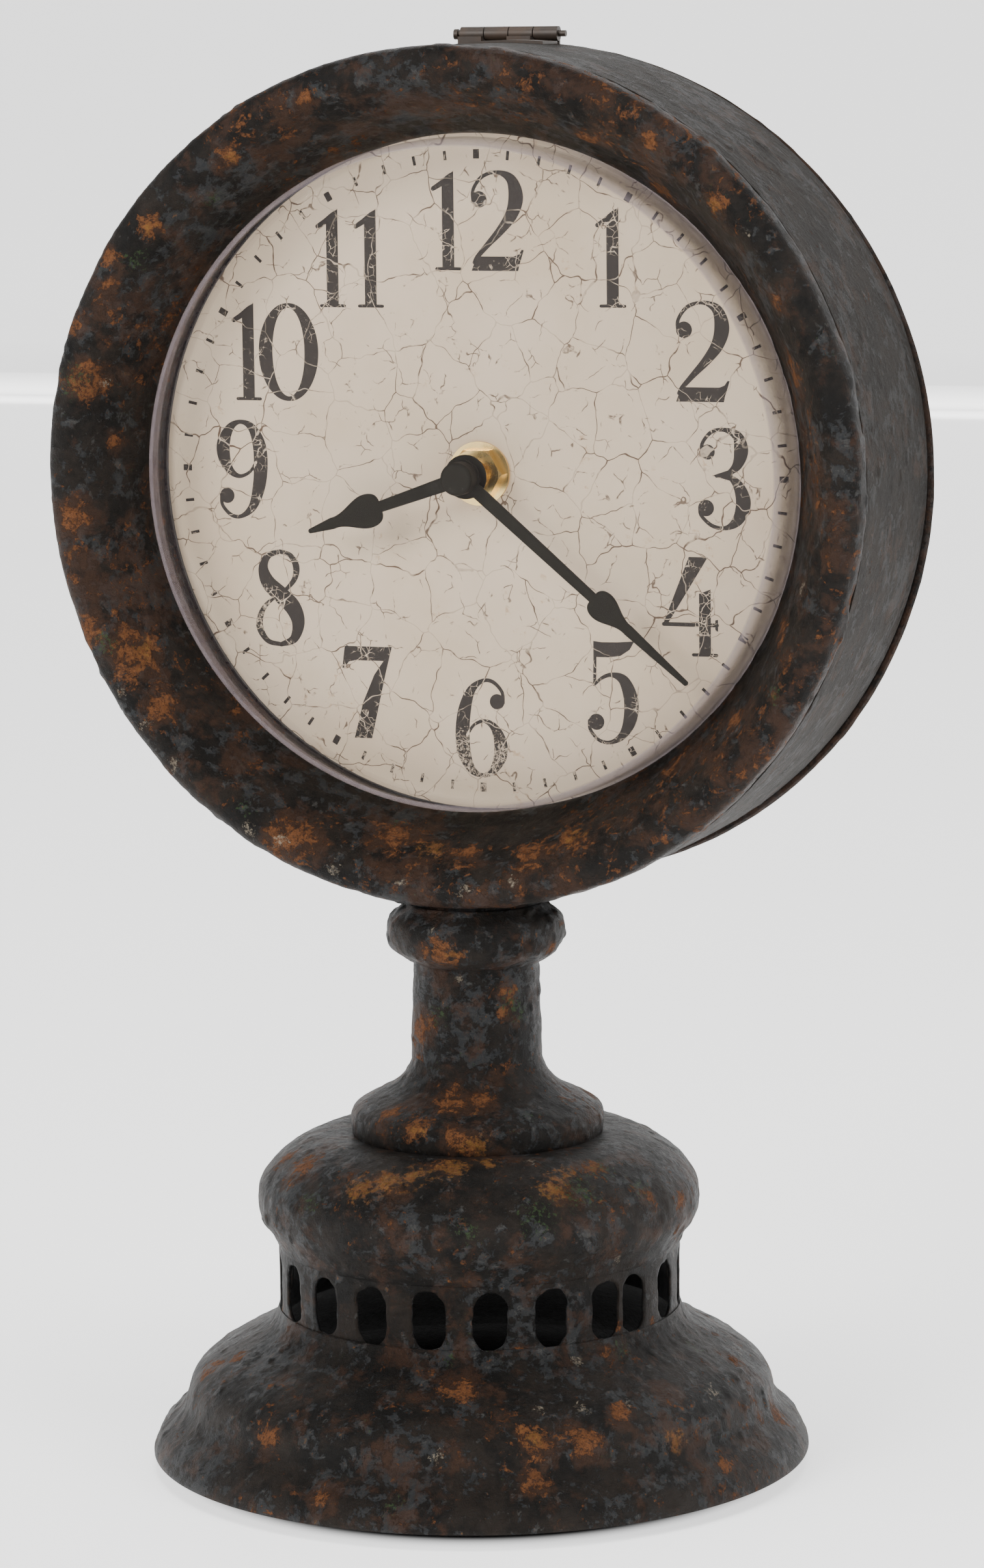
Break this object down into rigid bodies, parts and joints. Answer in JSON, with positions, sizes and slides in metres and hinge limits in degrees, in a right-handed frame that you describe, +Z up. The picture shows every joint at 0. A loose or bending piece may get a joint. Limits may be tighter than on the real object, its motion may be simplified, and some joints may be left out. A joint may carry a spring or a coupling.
{
  "type": "street clock",
  "caption": "Free-standing street clock: drum head with dished bezel and opening back, quartz movement, short neck and pierced round base.",
  "frame": {"origin": "centre of the base's underside, on the surface the clock stands on", "axes": "+Z up, the dial faces -Y, +X to the right of someone reading the dial"},
  "size_m": [0.2404, 0.1874, 0.4014],
  "materials": {
    "distressed_paint": "distressed dark paint, worn and rusty",
    "dark_hardware": "dark painted steel",
    "zinc_steel": "zinc plate",
    "magnet": "sintered",
    "crystal_plastic": "clear polished",
    "rubber": "matt",
    "dial_print": "aged printed paper",
    "case_plastic": "moulded",
    "brass": "bright",
    "wheel_plastic": "natural acetal",
    "board": "phenolic board",
    "copper_winding": "enamelled wire",
    "cell_wrap": "plain shrink wrap",
    "hand_black": "matt black"
  },
  "bodies": {
    "stand": {"base_skirt": "distressed_paint", "vent_band": "distressed_paint", "base_dome": "distressed_paint", "dome_flange": "distressed_paint", "neck_tube": "distressed_paint", "collar": "distressed_paint", "saddle": "distressed_paint", "tie_rod": "zinc_steel", "lower_washer": "zinc_steel", "lower_nut": "zinc_steel", "upper_washer": "zinc_steel", "upper_nut": "zinc_steel", "drum_shell": "distressed_paint", "bezel_ring": "distressed_paint", "crystal": "crystal_plastic", "crystal_gasket": "rubber", "dial_face": "dial_print", "dial_plate": "zinc_steel", "dial_brackets": "zinc_steel", "hinge_drum_leaf": "dark_hardware", "hinge_pin": "dark_hardware", "catch_magnet": "magnet", "case_front": "case_plastic", "case_back": "case_plastic", "threaded_bush": "brass", "hex_nut": "brass", "brass_washer": "brass", "rubber_washer": "rubber", "circuit_board": "board", "coil": "copper_winding", "stator": "zinc_steel", "contact_positive": "zinc_steel", "contact_negative": "zinc_steel"},
    "door": {"back_door": "distressed_paint", "hinge_door_leaf": "dark_hardware", "strike_plate": "zinc_steel", "door_knob": "dark_hardware"},
    "minute": {"minute_arbor": "brass", "minute_hand": "hand_black", "cap_nut": "hand_black"},
    "hour": {"hour_wheel": "wheel_plastic", "hour_hand": "hand_black"},
    "motion": {"motion_wheel": "wheel_plastic"},
    "setting": {"setting_knob": "case_plastic"},
    "seconds": {"seconds_wheel": "wheel_plastic"},
    "third": {"third_wheel": "wheel_plastic"},
    "centre": {"centre_wheel": "wheel_plastic"},
    "intermediate": {"intermediate_wheel": "wheel_plastic"},
    "rotor": {"rotor": "magnet"},
    "cell": {"battery": "cell_wrap"}
  },
  "joints": [
    {"name": "door_hinge", "type": "hinge", "parent": "stand", "child": "door", "pos_m": [-0.004, 0.0482, 0.3992], "axis": [1, 0, 0], "range_deg": [-1.3, 100]},
    {"name": "minute_turn", "type": "hinge", "parent": "stand", "child": "minute", "pos_m": [0, 0.02, 0.2775], "axis": [0, 1, 0], "continuous": true},
    {"name": "hour_turn", "type": "hinge", "parent": "stand", "child": "hour", "pos_m": [0, 0.02, 0.2775], "axis": [0, 1, 0], "continuous": true},
    {"name": "motion_turn", "type": "hinge", "parent": "stand", "child": "motion", "pos_m": [-0.00908, 0.02, 0.2759], "axis": [0, 1, 0], "continuous": true},
    {"name": "setting_turn", "type": "hinge", "parent": "stand", "child": "setting", "pos_m": [-0.01262, 0.02, 0.28564], "axis": [0, 1, 0], "continuous": true},
    {"name": "seconds_turn", "type": "hinge", "parent": "stand", "child": "seconds", "pos_m": [-0.00195, 0.02, 0.28863], "axis": [0, 1, 0], "continuous": true},
    {"name": "third_turn", "type": "hinge", "parent": "stand", "child": "third", "pos_m": [0.00764, 0.02, 0.28514], "axis": [0, 1, 0], "continuous": true},
    {"name": "centre_turn", "type": "hinge", "parent": "stand", "child": "centre", "pos_m": [0, 0.02, 0.2775], "axis": [0, 1, 0], "continuous": true},
    {"name": "intermediate_turn", "type": "hinge", "parent": "stand", "child": "intermediate", "pos_m": [0.00243, 0.02, 0.2962], "axis": [0, 1, 0], "continuous": true},
    {"name": "rotor_turn", "type": "hinge", "parent": "stand", "child": "rotor", "pos_m": [0.00993, 0.02, 0.2962], "axis": [0, 1, 0], "continuous": true},
    {"name": "battery_slide", "type": "slide", "parent": "stand", "child": "cell", "axis": [0, 1, 0], "range_m": [0, 0.0155]}
  ],
  "couplings": [
    {"joint": "hour_turn", "follows": "minute_turn", "ratio": 0.083333},
    {"joint": "motion_turn", "follows": "minute_turn", "ratio": -0.33333},
    {"joint": "setting_turn", "follows": "minute_turn", "ratio": 0.66667},
    {"joint": "third_turn", "follows": "seconds_turn", "ratio": -0.13333},
    {"joint": "centre_turn", "follows": "seconds_turn", "ratio": 0.016667},
    {"joint": "intermediate_turn", "follows": "seconds_turn", "ratio": -6},
    {"joint": "rotor_turn", "follows": "seconds_turn", "ratio": 30}
  ]
}
